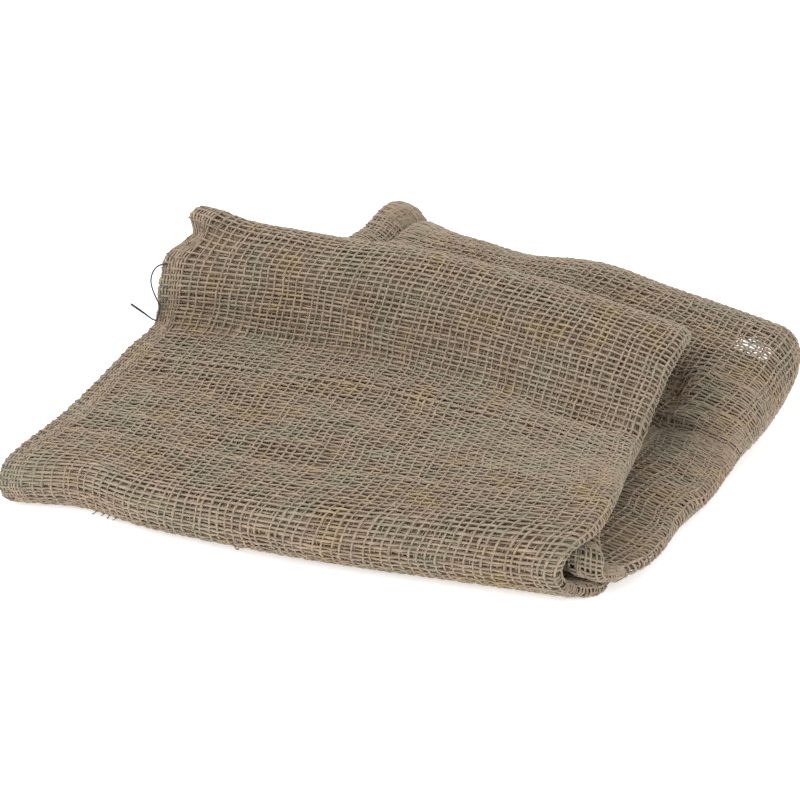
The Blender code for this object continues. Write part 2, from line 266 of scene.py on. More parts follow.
# A crease is a soft trough or ridge that the folding left in the cloth, from one place to
# another: the row it starts and ends by, moved by that many millimetres along the cloth, and s;
# then how wide it is and how high it stands.
Crease = namedtuple("Crease", "row_from by_from s_from row_to by_to s_to width height")
CREASES = (
    Crease("top middle", 9, 0.04, "top middle", -11, 0.40, 9.0, -1.4),
    Crease("top back", -4, 0.35, "top back", 2, 0.80, 7.0, 0.9),
    Crease("crease", -7, 0.78, "crease", -5, 0.98, 4.5, -2.2),
    Crease("top front", 2, 0.15, "top front", -6, 0.60, 8.0, -0.9),
    Crease("front fold 4", -8, 0.55, "front fold 4", -6, 1.0, 8.0, 1.6),
    Crease("front fold 2", -2, 0.20, "front fold 2", 4, 0.50, 8.0, -1.2),
    Crease("roll face", 4, 0.10, "roll face", -6, 0.45, 7.0, -1.2),
    Crease("crest", -6, 0.55, "roll shoulder", 2, 0.95, 6.0, 1.0),
    Crease("puff front", 0, 0.77, "puff rise", -2, 0.83, 8.0, -9.0),
    Crease("puff rise", -11, 0.79, "puff rise", -7, 0.93, 4.0, 3.6),
    Crease("puff rise", -21, 0.80, "puff rise", -15, 0.92, 5.0, -2.0),
    Crease("puff rise", -6, 0.855, "puff front", 14, 0.850, 6.0, 2.4),
    Crease("third middle", 12, 0.86, "third middle", -6, 1.0, 7.0, -1.4),
    Crease("puff front", 4, 0.30, "puff top", -6, 0.62, 7.0, -1.5),
    Crease("roll shoulder", 6.5, -0.04, "roll shoulder", 10.5, 0.14, 3.5, -2.6),
    Crease("puff top", -12, 0.055, "bottom", 10, 0.050, 2.6, -3.6),
    Crease("puff top", -12, 0.022, "bottom", 10, 0.018, 3.2, 1.4),
)
CREASE_SPAN = 295.0        # millimetres of cloth from s = 0 to s = 1
CREASE_FADE = 0.12         # share of its length over which a crease is lowest, at each end


def crease_height(along, s):
    """How far the creases lift the outer side of the sack at a place."""
    height = 0.0
    for crease in CREASES:
        start = np.array((along_to(crease.row_from) + crease.by_from, crease.s_from * CREASE_SPAN))
        end = np.array((along_to(crease.row_to) + crease.by_to, crease.s_to * CREASE_SPAN))
        place = np.stack(np.broadcast_arrays(along, s * CREASE_SPAN), axis=-1) - start
        share = np.clip((place @ (end - start)) / ((end - start) @ (end - start)), 0, 1)
        away = np.linalg.norm(place - share[..., None] * (end - start), axis=-1)
        fading = np.sin(np.pi * np.clip(share, CREASE_FADE, 1 - CREASE_FADE))
        height = height + crease.height * fading * np.exp(-(away / crease.width)**2)
    return height


# A tuck moves an edge of the folded sack sideways: the row and the millimetres along the cloth
# where it is, at which edge (0 left, 1 right), how long and how wide it is, and how far it moves
# the edge to the right.
Tuck = namedtuple("Tuck", "row by edge reach width x")
TUCKS = (
    Tuck("crest", -4.0, 0, 6.5, 14.0, -2.5),            # the roll's end, pushed out at its top
    Tuck("roll shoulder", 7.5, 0, 4.5, 9.0, 7.0),       # the notch below
    Tuck("roll shoulder", -2.0, 0, 6.0, 20.0, -2.0),    # and its fuller lower half
    Tuck("third front", -18.0, 1, 30.0, 25.0, 6.5),     # the lower right edge, bulging
)


def tucked(along, s):
    """How far the tucks move the cloth to the right at a place."""
    total = 0.0
    for tuck in TUCKS:
        away = (along - along_to(tuck.row) - tuck.by) / tuck.reach
        inwards = np.abs(np.clip(np.minimum(s, 2 - s), 0, 1) - tuck.edge) * CREASE_SPAN
        total = total + tuck.x * np.exp(-away**2 - (inwards / tuck.width)**2)
    return total


NESTED = 0.9               # how far the inner cloth's yarns sink in between the outer one's
NESTED_FADE = 15.0         # cloth over which they part again before the roll and after it


def cloth_at(along, s, cloth):
    """A point of the cloth, and the way out of it, `along` millimetres from the mouth."""
    u = np.interp(along, PATH, FINE)
    point, outward = folded_cloth(u, s, cloth, np.maximum(along - PATH[-1], 0))
    lift = crease_height(along, np.where(s > 1, 2 - s, s)) * np.where(s > 1, 0, 1)
    if cloth == INNER:
        in_roll = np.minimum(along - along_to("crease"), along_to("third front") - along)
        lift = lift + NESTED * (1 - np.clip(in_roll / NESTED_FADE, 0, 1))
    point[..., 0] += tucked(along, s)
    return point + outward * np.asarray(lift)[..., None], outward


# The folds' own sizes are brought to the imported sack, whose box stands over the origin.
skin = folded_cloth(np.linspace(0, KNOTS[-1], 400)[:, None], np.linspace(0, 1.5, 200), OUTER)[0]
skin_middle = (skin.min((0, 1)) + skin.max((0, 1))) / 2
cad_low, cad_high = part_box("sack_cloth")
SHIFT = (np.array(cad_low) + np.array(cad_high)) / 2 / MM - skin_middle
SHIFT[2] = 0.0

WARPS = 63                 # lengthwise yarns from the left seam to the middle of the right turn
WARP_GAP = 4.7             # from one lengthwise yarn to the next
WEFT_GAP = 2.9             # from one crosswise yarn to the next
HIDDEN_CLOTH = 0.6         # thickness of the sheet that stands for the hidden cloths
DROP = 1.0                 # how far it keeps under the inner cloth, where that is made in yarns
DROP_FADE = 12.0           # how fast this ends towards the right turn, for each 1 of s
LIP_DROP = 0.8             # how far it keeps under the outer cloth's lip, turned over at the left
LIP_SPAN = 0.05            # the stretches of the lip are narrower than this, in s

# The stretches of hidden cloth: first and last row, from and to s, and which cloth.
HIDDEN = (
    ("mouth", "bottom", 0.0, 2.0, INNER),
    ("mouth", "floor back", 1.1, 1.67, OUTER),
    ("floor back", "bottom", 1.07, 2.0, OUTER),
    ("mouth", "bottom", -0.012, 0.03, OUTER),
    ("mouth", "bottom", 1.97, 2.012, OUTER),
    ("roll under", "puff foot", 0.03, 0.85, OUTER),
)
SHEET_LINES = 6.0          # millimetres between its mesh lines along the cloth
SHEET_COLUMNS = 26         # and how many there are for each half of the width

# Light shows right through the thin top of the puff, so there is no hidden sheet there, nor
# farther on behind it: the row and the millimetres along the cloth where this begins, the last
# row, and from and to s.
LIT_THROUGH = (
    ("puff top", -8, "bottom", 0.84, 0.91),
    ("puff back", -6, "bottom", 1.08, 1.22),
)


def new_piece(name, vertices, faces, uv_maps):
    """A mesh object from points in the folds' sizes. uv_maps holds a place for each corner."""
    mesh = bpy.data.meshes.new(name)
    mesh.from_pydata((vertices + SHIFT) * MM, [], faces)
    for label, places in uv_maps.items():
        layer = mesh.uv_layers.new(name=label)
        layer.uv.foreach_set("vector", np.asarray(places, dtype=np.float32).ravel())
    mesh.polygons.foreach_set("use_smooth", np.ones(len(mesh.polygons), dtype=bool))
    piece = bpy.data.objects.new(name, mesh)
    bpy.context.scene.collection.objects.link(piece)
    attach(piece, "root")
    return piece


def grid_quads(rows, columns, first=0):
    """The faces of a grid of points, each with the numbers of its four corners."""
    corner = first + np.arange(rows * columns).reshape(rows, columns)
    return np.stack((corner[:-1, :-1], corner[:-1, 1:], corner[1:, 1:], corner[1:, :-1]),
                    axis=-1).reshape(-1, 4)


def lit_through(length, s):
    """Whether light shows through at a place."""
    lit = False
    for first, first_by, last, s_from, s_to in LIT_THROUGH:
        lit = lit | ((length > along_to(first) + first_by) & (length < along_to(last))
                     & (s > s_from) & (s < s_to))
    return lit


points, quads, places = [], [], []
for first, last, s_from, s_to, cloth in HIDDEN:
    first, last = along_to(first), along_to(last)
    length = np.linspace(first, last, int((last - first) / SHEET_LINES) + 2)[:, None]
    columns = np.linspace(s_from, s_to, int((s_to - s_from) * SHEET_COLUMNS) + 5)
    point, outward = cloth_at(length, columns, cloth)
    if s_to - s_from < LIP_SPAN:
        point = point - outward * LIP_DROP
    if cloth == INNER:
        shown = (((length > along_to("front fold 0")) & (length < along_to("second back")))
                 | (length > along_to("third front")))
        drop = DROP * shown * np.clip((1 - columns) * DROP_FADE, 0, 1)
        point = point - outward * drop[..., None]
    rows, count = point.shape[:2]
    closed = ~lit_through(length, columns)[:-1, :-1].ravel()
    quads.append(grid_quads(rows, count, sum(len(p) for p in points))[closed])
    points.append(point.reshape(-1, 3))
    places.append(np.stack(np.broadcast_arrays(columns * WARPS, length / WEFT_GAP),
                           axis=-1).reshape(-1, 2))
quads = np.concatenate(quads)
used, corners = np.unique(quads, return_inverse=True)
hidden_cloth = new_piece("hidden_cloth", np.concatenate(points)[used],
                         corners.reshape(-1, 4).tolist(),
                         {"weave": np.concatenate(places)[quads]})
thickness = hidden_cloth.modifiers.new("thickness", "SOLIDIFY")
thickness.thickness = HIDDEN_CLOTH * MM
thickness.offset = 0.0


def add_node(tree, kind, inputs=(), **settings):
    """A shader node with its settings, and with a value or a link for each named input."""
    node = tree.nodes.new(kind)
    for setting, value in settings.items():
        setattr(node, setting, value)
    for socket, value in dict(inputs).items():
        if isinstance(value, bpy.types.NodeSocket):
            tree.links.new(value, node.inputs[socket])
        else:
            node.inputs[socket].default_value = value
    return node


FIBRE_ROUGHNESS = 0.9
FIBRE_SHINE = 0.15


def new_finish(name):
    """A dull material, still without colour, with its node tree and its shader."""
    finish = bpy.data.materials.new(name)
    finish.use_nodes = True
    shader = finish.node_tree.nodes["Principled BSDF"]
    shader.inputs["Roughness"].default_value = FIBRE_ROUGHNESS
    shader.inputs["Specular IOR Level"].default_value = FIBRE_SHINE
    return finish, finish.node_tree, shader


def patches(tree, where, scale, detail=2.0, roughness=0.5, flat=False):
    """Soft uneven patches, from 0 to 1, over the surface or over a flat UV map."""
    return add_node(tree, "ShaderNodeTexNoise",
                    {"Vector": where, "Scale": scale, "Detail": detail, "Roughness": roughness},
                    noise_dimensions="2D" if flat else "3D").outputs["Fac"]


def spread(tree, value, low, high, from_low=0.3, from_high=0.7):
    """The values between two limits, spread between two others."""
    return add_node(tree, "ShaderNodeMapRange",
                    {"Value": value, "From Min": from_low, "From Max": from_high, "To Min": low,
                     "To Max": high}).outputs["Result"]


def toned(tree, tone, tones):
    """Colours that change with the tone. Each one has its place from 0 to 1."""
    ramp = add_node(tree, "ShaderNodeValToRGB", {"Fac": tone})
    stops = ramp.color_ramp.elements
    stops[0].position, stops[0].color = tones[0]
    stops[1].position, stops[1].color = tones[-1]
    for place, colour in tones[1:-1]:
        stops.new(place).color = colour
    return ramp.outputs["Color"]


def raise_surface(tree, shader, height, distance, strength):
    """Let the light fall as on a surface raised by up to that distance, in metres."""
    bump = add_node(tree, "ShaderNodeBump",
                    {"Height": height, "Distance": distance, "Strength": strength})
    tree.links.new(bump.outputs["Normal"], shader.inputs["Normal"])


JUTE_TONES = (                   # where the retting and the sun left the fibre darker or paler
    (0.34, (0.295, 0.258, 0.180, 1.0)),      # greenish grey
    (0.45, (0.318, 0.258, 0.176, 1.0)),      # beige
    (0.53, (0.326, 0.242, 0.175, 1.0)),      # pinkish brown
    (0.67, (0.342, 0.258, 0.146, 1.0)),      # ochre
)
JUTE_PATCHES = 42.0              # how small the patches of one tone are
OWN_TONE = 0.3                   # the share of its tone that each yarn has for itself


def jute_colour(tree, own_tone=None):
    """The fibre's natural colours, in soft patches and, with own_tone, from yarn to yarn."""
    where = add_node(tree, "ShaderNodeTexCoord")
    tone = patches(tree, where.outputs["Object"], JUTE_PATCHES)
    if own_tone is not None:
        tone = add_node(tree, "ShaderNodeMix", {"Factor": OWN_TONE, "A": tone, "B": own_tone},
                        data_type="FLOAT").outputs["Result"]
    return toned(tree, tone, JUTE_TONES)


GAP_PAINTED_SHADE = (0.190, 0.125, 0.072, 1.0)       # painted shade: the dark brown of the deep gaps between the hidden yarns
DRAWN_YARNS = (("X", 0.12), ("Y", 0.21))     # half the width of a yarn, where 1 is its spacing
DRAWN_EDGE = 0.06                            # and how soft its edge is
DRAWN_RELIEF = 0.0005


def hidden_cloth_finish():
    """The weave drawn on the hidden sheet: pale yarns crossing over gaps painted in dark brown
    shade.
    """
    finish, tree, shader = new_finish("hidden jute")
    numbers = add_node(tree, "ShaderNodeUVMap", uv_map="weave")
    parts = add_node(tree, "ShaderNodeSeparateXYZ", {"Vector": numbers.outputs["UV"]})
    yarns = []
    for part, reach in DRAWN_YARNS:
        waves = add_node(tree, "ShaderNodeMath", {0: parts.outputs[part], 1: 0.5},
                         operation="PINGPONG")
        yarns.append(spread(tree, waves.outputs["Value"], 0.0, 1.0, reach + DRAWN_EDGE, reach))
    weave = add_node(tree, "ShaderNodeMath", {0: yarns[0], 1: yarns[1]},
                     operation="MAXIMUM").outputs["Value"]
    colour = add_node(tree, "ShaderNodeMix", {"Factor": weave, "A": GAP_PAINTED_SHADE,
                                              "B": jute_colour(tree)}, data_type="RGBA")
    tree.links.new(colour.outputs["Result"], shader.inputs["Base Color"])
    raise_surface(tree, shader, weave, DRAWN_RELIEF, 0.8)
    return finish


hidden_cloth.data.materials.append(hidden_cloth_finish())
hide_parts("sack_cloth")

# ---------------------------------------------------------------------------------------------
# The outer and the inner cloth where they show, in yarns: single jute yarns in an open plain
# weave, each one spun unevenly and passing over and under the ones it crosses. The crosswise
# yarns lie closer together than the lengthwise ones, and turn over at the left edge.
# ---------------------------------------------------------------------------------------------
CROSSWISE_YARN = 1.25      # thickness of a crosswise yarn
LENGTHWISE_YARN = 1.15     # and of a lengthwise one
FLAT = 0.85                # its height against its width, as the weave presses it
WAVE = 0.42                # how far it swings to pass over and under
WANDER = 0.28              # how far yarns stray from even spacing, as a share of it
WANDER_WAVES = 7
WANDER_LENGTHS = (5, 28)   # yarns from one crest of such a wave to the next
UNEVEN = 0.20              # how much its thickness changes along it
UNEVEN_LENGTHS = (7.0, 11.0, 19.0, 43.0)     # millimetres from one thick place to the next
SPACING_ERROR = 0.14       # how far each whole yarn lies from its place, as a share of the spacing
INNER_OFFSET = 0.4         # and the inner cloth's crosswise yarns from the outer one's
FRAY = 2.0                 # how far the lengthwise yarns stand out of the mouth
BOTTOM_TURN = 3.4          # cloth in the half turn at the sack's bottom
EDGE_YARNS = (-1.14, -0.86, -0.58, -0.31, 0.33, 0.66, 1.5)    # closer ones at the left edge

# A stretch is one piece of the weave: between two rows, moved by that many crosswise yarns,
# and between two lengthwise yarns; and how finely its yarns are made. Where the cloth is drawn
# together at its sides, crowded stretches add crosswise yarns that part from the even ones.
Stretch = namedtuple("Stretch", "name cloth first first_by last last_by left right steps sides "
                                "crowd")
STRETCHES = (
    Stretch("outer_cloth_underside", OUTER, "mouth", 0, "front fold 0", 0,
            0, WARPS + 6, 1, 3, 1),
    Stretch("outer_cloth_mouth", OUTER, "mouth", 0, "floor back", 3,
            2 * WARPS - 22, 2 * WARPS + 1, 1, 4, 1),
    Stretch("outer_cloth_top", OUTER, "front fold 0", 0, "roll foot", 0,
            0, WARPS + 4, 2, 5, 1),
    Stretch("outer_cloth_roll", OUTER, "roll foot", 0, "second back", 0,
            0, WARPS + 4, 2, 5, 1),
    Stretch("outer_cloth_second_layer", OUTER, "second back", 0, "second front", 0,
            WARPS - 6, WARPS + 4, 2, 5, 1),
    Stretch("outer_cloth_lower_edge", OUTER, "second front", 0, "puff foot", -8,
            WARPS - 16, WARPS + 4, 2, 5, 1),
    Stretch("outer_cloth_puff", OUTER, "puff foot", -8, "bottom", 1,
            0, WARPS + 16, 2, 5, 1),
    Stretch("crowded_front_corner", OUTER, "front fold 0", -4, "front fold 1", 1,
            WARPS - 9, WARPS + 4, 2, 5, 2),
    Stretch("crowded_inner_corner", OUTER, "inner fold 0", -1, "inner fold 4", 1,
            WARPS - 10, WARPS + 4, 2, 5, 4),
    Stretch("crowded_right_edge", OUTER, "puff foot", -3, "puff front", 3,
            WARPS - 13, WARPS + 4, 2, 5, 2),
    Stretch("crowded_back_corner", OUTER, "puff front", 0, "bottom", 0,
            0, 11, 2, 5, 2),
    Stretch("inner_cloth_top", INNER, "front fold 0", 0, "roll under", 0,
            0, WARPS, 1, 3, 1),
    Stretch("inner_cloth_lower_edge", INNER, "third front", 0, "puff foot", -8,
            WARPS - 16, WARPS, 1, 3, 1),
    Stretch("inner_cloth_puff", INNER, "puff foot", -8, "bottom", 0,
            0, WARPS, 1, 3, 1),
)
PARTING = 5.0              # lengthwise yarns that a crowded yarn passes before it lies on its own


def wander(across_yarns, along_yarns, seed):
    """A smooth stray between about -1 and 1, from a few slow waves in all directions."""
    random = np.random.default_rng(seed)
    total = 0.0
    for _ in range(WANDER_WAVES):
        heading, phase = random.uniform(0, 2 * np.pi, 2)
        length = random.uniform(*WANDER_LENGTHS)
        total = total + np.sin((across_yarns * np.cos(heading) + along_yarns * np.sin(heading))
                               * 2 * np.pi / length + phase)
    return total / 3


def uneven(number, position, seed):
    """A value for each yarn that changes along it, for its thick and thin places."""
    random = np.random.default_rng(seed)
    phases = random.uniform(0, 2 * np.pi, (4, 1000))
    total = 0.0
    for phase, length in zip(phases, UNEVEN_LENGTHS):
        total = total + np.sin(position * 2 * np.pi / length + phase[number % 1000])
    return total / 2


def spacing_error(number, seed):
    """How far each yarn lies from its even place, for whole and part yarn numbers."""
    errors = np.random.default_rng(seed).normal(0, SPACING_ERROR, 1000)
    return np.interp(number + 100, np.arange(1000), errors)


def crossing(warp, weft, cloth):
    """Where two yarns of one cloth cross: a point, and the way out of the cloth there."""
    seed = 10 if cloth == OUTER else 20
    # At the left edge the seam holds the lengthwise yarns in their places.
    stray_across = WANDER * wander(warp, weft, seed + 1) * np.clip(warp / 4 + 0.6, 0, 1)
    stray_along = WANDER * wander(warp, weft, seed + 2)
    error = spacing_error(warp, seed + 3) * np.clip(warp + 0.5, 0, 1)
    s = (warp + 0.5 + stray_across + error) / WARPS
    along = (weft + 0.5 + stray_along + spacing_error(weft, seed + 4)) * WEFT_GAP
    if cloth == INNER:
        along = along + INNER_OFFSET * WEFT_GAP
    return cloth_at(along, s, cloth)


def off_floor(points, height):
    """The points, with those that are too low for their yarn's thickness lifted."""
    points[..., 2] = np.maximum(points[..., 2], height)
    return points


# A bundle is a number of yarns with equally many points each: where those are, the way up
# there, how thick the yarn is, how many millimetres along it they lie, and the yarns' numbers.
Bundle = namedtuple("Bundle", "centre up thick along number")


def tube_corners(bundle, sides):
    """The rings of corner points round each point of each yarn."""
    forward = unit(np.gradient(bundle.centre, axis=1))
    side = unit(np.cross(forward, bundle.up))
    over = np.cross(side, forward)
    turn = 2 * np.pi * (np.arange(sides) + 0.5) / sides
    ring = (np.cos(turn)[:, None] * side[:, :, None]
            + FLAT * np.sin(turn)[:, None] * over[:, :, None])
    return bundle.centre[:, :, None] + bundle.thick[..., None, None] / 2 * ring


def quad_corners(grid):
    """The four corners of each cell of a grid of UV places, in the order of the tube's faces."""
    return np.stack((grid[:, :-1, :-1], grid[:, :-1, 1:], grid[:, 1:, 1:], grid[:, 1:, :-1]),
                    axis=-2).reshape(-1, 2)


# Each yarn has a strip of its own on the bake map, from side to side of it, and a small disc at
# either end of the strip for its cut ends. Across, 1 is the strip's height, the gap to the next
# one included.
STRIP_ACROSS = (0.1, 0.8)          # where its yarn starts on it, and how much of it this takes
STRIP_ALONG = (0.01, 0.99)
DISCS_AT = (0.005, 0.995)
DISC = (0.003, 0.35)


def yarn_piece(name, bundles, sides, finish):
    """A mesh of yarns with a bake map, and with a map of its places along each yarn in mm."""
    vertices, tube_faces, end_faces = [], [], []
    strips, own, strip_ends, own_ends = [], [], [], []
    total = sum(len(bundle.number) for bundle in bundles)
    made = points_made = 0
    turn = 2 * np.pi * np.arange(sides) / sides
    for bundle in bundles:
        corners = tube_corners(bundle, sides)
        yarns, steps = bundle.thick.shape
        number = points_made + np.arange(yarns * steps * sides).reshape(yarns, steps, sides)
        turned = np.roll(number, -1, axis=2)
        tube_faces.append(np.stack((number[:, :-1], turned[:, :-1], turned[:, 1:], number[:, 1:]),
                                   axis=-1).reshape(-1, 4))
        end_faces.append(np.concatenate((number[:, 0, ::-1], number[:, -1])))
        vertices.append(corners.reshape(-1, 3))
        points_made += corners.size // 3

        strip = made + np.arange(yarns)[:, None, None]
        x = np.linspace(*STRIP_ALONG, steps)[None, :, None]
        start, width = STRIP_ACROSS
        y = (strip + start + width * np.arange(sides + 1) / sides) / total
        strips.append(quad_corners(np.stack(np.broadcast_arrays(x, y), axis=-1)))
        for middle in DISCS_AT:
            x = middle + DISC[0] * np.cos(turn)
            y = (strip[:, 0] + 0.5 + DISC[1] * np.sin(turn)) / total
            strip_ends.append(np.stack(np.broadcast_arrays(x, y), axis=-1).reshape(-1, 2))
        x = bundle.along[..., None]
        y = 2.0 * bundle.number[:, None, None] + np.arange(sides + 1) / sides
        grid = np.stack(np.broadcast_arrays(x, y), axis=-1)
        own.append(quad_corners(grid))
        own_ends.append(np.concatenate((grid[:, 0, :sides], grid[:, -1, :sides])).reshape(-1, 2))
        made += yarns
    faces = np.concatenate(tube_faces).tolist() + np.concatenate(end_faces).tolist()
    piece = new_piece(name, np.concatenate(vertices), faces,
                      {"OFBake": np.concatenate(strips + strip_ends),
                       "yarn": np.concatenate(own + own_ends)})
    piece.data.materials.append(finish)
    return piece


def stops_between(first, last, crossings, steps):
    """Where a yarn has points: at its ends, and at and between the yarns that it crosses."""
    if steps == 1:
        return np.concatenate(([first], crossings, [last]))
    return np.arange(0, (last - first) * steps + 1) / steps + first


def yarn_bundle(warp, weft, number, crosswise, cloth):
    """Yarns that run through those places, passing over and under the ones they cross."""
    point, outward = crossing(warp, weft, cloth)
    running = warp if crosswise else weft
    millimetres = running * (WARP_GAP if crosswise else WEFT_GAP)
    first_up = np.where(number % 2 == 0, 1, -1)[:, None] * (1 if crosswise else -1)
    centre = point + outward * (WAVE * first_up * np.cos(np.pi * running))[..., None]
    thick = ((CROSSWISE_YARN if crosswise else LENGTHWISE_YARN)
             * (1 + UNEVEN * uneven(number[:, None], millimetres, 31 if crosswise else 32)))
    return Bundle(off_floor(centre, thick * FLAT / 2), outward, thick, millimetres,
                  number + (0 if crosswise else 500))


def weave(stretch):
    """The yarns of one stretch of cloth: the crosswise ones and, as a rule, the lengthwise."""
    first = round(along_to(stretch.first) / WEFT_GAP) + stretch.first_by
    last = round(along_to(stretch.last) / WEFT_GAP) + stretch.last_by
    wefts = np.arange(first, last)
    warps = np.arange(stretch.left, stretch.right)
    numbers = warps
    stops = stops_between(stretch.left - 0.5, stretch.right - 0.5, warps, stretch.steps)
    if stretch.crowd > 1:
        extra = np.tile(np.arange(1, stretch.crowd), len(wefts))
        wefts = np.repeat(wefts, stretch.crowd - 1)
        inwards = stretch.right - stops if stretch.left == 0 else stops - stretch.left
        parted = np.clip(inwards / PARTING, 0, 1)
        weft = wefts[:, None] + extra[:, None] / stretch.crowd * (3 - 2 * parted) * parted**2
        crosswise = yarn_bundle(np.broadcast_to(stops, weft.shape), weft, wefts + 100 * extra,
                                True, stretch.cloth)
        if stretch.crowd == 2:
            return (crosswise,)
        stops = np.arange(first - 0.5, last, 0.25)
        warps = np.arange(stretch.left + PARTING, stretch.right) + 0.5
        weft, warp = np.broadcast_arrays(stops, warps[:, None])
        return crosswise, yarn_bundle(warp, weft, warps.astype(int), False, stretch.cloth)
    if stretch.left == 0 and stretch.cloth == OUTER:
        warps = np.concatenate((EDGE_YARNS, warps))
        numbers = np.concatenate((-1 - np.arange(len(EDGE_YARNS)), numbers))
        stops = np.sort(np.concatenate(([EDGE_YARNS[0] - 0.1], EDGE_YARNS, stops)))
    warp, weft = np.broadcast_arrays(stops, wefts[:, None].astype(float))
    crosswise = yarn_bundle(warp, weft, wefts, True, stretch.cloth)
    stops = stops_between(first - 0.5, last - 0.5, wefts, stretch.steps)
    if stretch.first == "mouth":
        stops[0] = -FRAY / WEFT_GAP
    if stretch.last == "bottom" and stretch.cloth == OUTER:
        stops = stops[stops < (PATH[-1] + BOTTOM_TURN) / WEFT_GAP]
    weft, warp = np.broadcast_arrays(stops, warps[:, None].astype(float))
    return crosswise, yarn_bundle(warp, weft, numbers, False, stretch.cloth)


def along_yarn(tree, scale, turned=0.0):
    """Each place's own position along and round its yarn, scaled and turned."""
    numbers = add_node(tree, "ShaderNodeUVMap", uv_map="yarn")
    return add_node(tree, "ShaderNodeMapping",
                    {"Vector": numbers.outputs["UV"], "Rotation": (0.0, 0.0, turned),
                     "Scale": scale}).outputs["Vector"]


YARN_SHADES = (0.80, 1.22)         # a yarn's darkest and palest parts against its colour
FIBRE_SHADES = (0.82, 1.15)        # and those of its single fibres
SHADE_STRETCH = (0.09, 1.0, 1.0)   # its shade changes slowly along it
FIBRE_STRETCH = (1.2, 9.0, 1.0)    # and its fibres lie close
TWIST = 0.35                       # how steeply they are twisted, in radians
FIBRE_RELIEF = 0.0003


def yarn_finish(name, painted_light):
    """Spun jute: its colour strays from yarn to yarn and along each, over twisted fibres."""
    finish, tree, shader = new_finish(name)
    stray = patches(tree, along_yarn(tree, SHADE_STRETCH), 1.0, 2.0, 0.7, flat=True)
    fibres = patches(tree, along_yarn(tree, FIBRE_STRETCH, TWIST), 1.0, 3.0, 0.65, flat=True)
    darkest, palest = YARN_SHADES
    # A factor above 1 paints light into the yarn's colour: that makes the inner cloth's lighter
    # copy.
    light = add_node(tree, "ShaderNodeMath",
                     {0: spread(tree, stray, darkest * painted_light, palest * painted_light),
                      1: spread(tree, fibres, *FIBRE_SHADES)}, operation="MULTIPLY")
    colour = add_node(tree, "ShaderNodeVectorMath",
                      {0: jute_colour(tree, own_tone=stray), "Scale": light.outputs["Value"]},
                      operation="SCALE")
    tree.links.new(colour.outputs["Vector"], shader.inputs["Base Color"])
    raise_surface(tree, shader, fibres, FIBRE_RELIEF, 0.7)
    shader.inputs["Sheen Weight"].default_value = 0.25
    shader.inputs["Sheen Roughness"].default_value = 0.6
    return finish


INNER_PAINTED_LIGHT = 1.35      # painted light: the inner cloth's yarns are coloured paler, so that the shade among the outer yarns' gaps looks lighter
jute_yarn = yarn_finish("jute yarn", 1.0)
inner_jute_yarn_painted_light = yarn_finish("inner jute yarn painted lighter", INNER_PAINTED_LIGHT)
for stretch in STRETCHES:
    finish = jute_yarn if stretch.cloth == OUTER else inner_jute_yarn_painted_light
    yarn_piece(stretch.name, weave(stretch), stretch.sides, finish)

# ---------------------------------------------------------------------------------------------
# The seams down the sack's two sides, which lie at its left edge, one above the other: a thin
# grey thread, overcast by hand or machine round both cloths.
# ---------------------------------------------------------------------------------------------
THREAD = 0.75              # thickness of the thread
STITCH = 7.0               # from one stitch to the next
STITCH_BITE = 5.0          # how far in from the edge it pierces the cloths
STITCH_POINTS = 12
STITCH_STRAY = 1.2         # how far a stitch lies from its even place
STITCH_SLANTS = (0.75, 1.0)        # how far along the seam it runs, as a share of its spacing
THREAD_OUT = 0.75          # how far its middle lies outside the cloths
SUNK = 8                   # the last one in so many parts of it dives into them, at each end
THREAD_SHADES = ((0.3, (0.10, 0.105, 0.105, 1.0)), (0.7, (0.25, 0.235, 0.20, 1.0)))
WORN_PATCHES = 180.0       # how small its worn places are


def seam_at(along, round_edge, under):
    """A point of a seam's edge, from the outer cloth (1) round the lip to the inner one (-1)."""
    u = np.interp(along, PATH, FINE)
    width = np.linalg.norm(middle_surface(u, np.ones_like(u))
                           - middle_surface(u, np.zeros_like(u)), axis=-1)
    width = width + ply_reach(u, np.ones_like(u), OUTER) * np.pi / 2
    lip = (ply_reach(u, 0 * u, OUTER) - ply_reach(u, 0 * u, INNER)) / 2
    out = np.interp(round_edge, (-1.0, -0.25, 0.25, 1.0),
                    (-STITCH_BITE, 0.0, 1.0, 1.0 + STITCH_BITE))
    edge = np.clip(out, 0, 1)
    s = np.where(out > 1, (out - 1) / width, -(1 - edge) * np.pi * lip / width)
    outer, outer_way = folded_cloth(u, np.where(under, 2 - s, s), OUTER)
    s = np.maximum(-out, 0) / width
    inner, inner_way = folded_cloth(u, np.where(under, 2 - s, s), INNER)
    on_inner = (out < 0)[..., None]
    point = np.where(on_inner, inner, outer)
    outward = np.where(on_inner, -inner_way, outer_way)
    point[..., 0] += tucked(along, 0)
    return point + outward * THREAD_OUT, outward


def stitches(under, number):
    """All stitches of one seam. Their ends are sunk into the cloths."""
    random = np.random.default_rng(50 + number)
    start = np.arange(STITCH, PATH[-1] - STITCH, STITCH)
    start = start + random.uniform(-STITCH_STRAY, STITCH_STRAY, len(start))
    share = np.linspace(0, 1, STITCH_POINTS)
    along = start[:, None] + share * STITCH * random.uniform(*STITCH_SLANTS, (len(start), 1))
    centre, outward = seam_at(along, np.broadcast_to(1 - 2 * share, along.shape), under)
    sunk = np.clip((np.abs(1 - 2 * share) - 1) * SUNK + 1, 0, 1) * 2 * THREAD_OUT
    centre = off_floor(centre - outward * sunk[:, None], THREAD / 2)
    return Bundle(centre, outward, np.full(along.shape, THREAD), along,
                  np.arange(len(start)) + 1000 * number)


def thread_finish():
    """Grey-blue cotton thread, dulled unevenly."""
    finish, tree, shader = new_finish("grey thread")
    where = add_node(tree, "ShaderNodeTexCoord")
    wear = patches(tree, where.outputs["Object"], WORN_PATCHES, 3.0)
    tree.links.new(toned(tree, wear, THREAD_SHADES), shader.inputs["Base Color"])
    return finish


grey_thread = thread_finish()
seams = (stitches(False, 1), stitches(True, 2))
yarn_piece("side_seams", seams, 4, grey_thread)

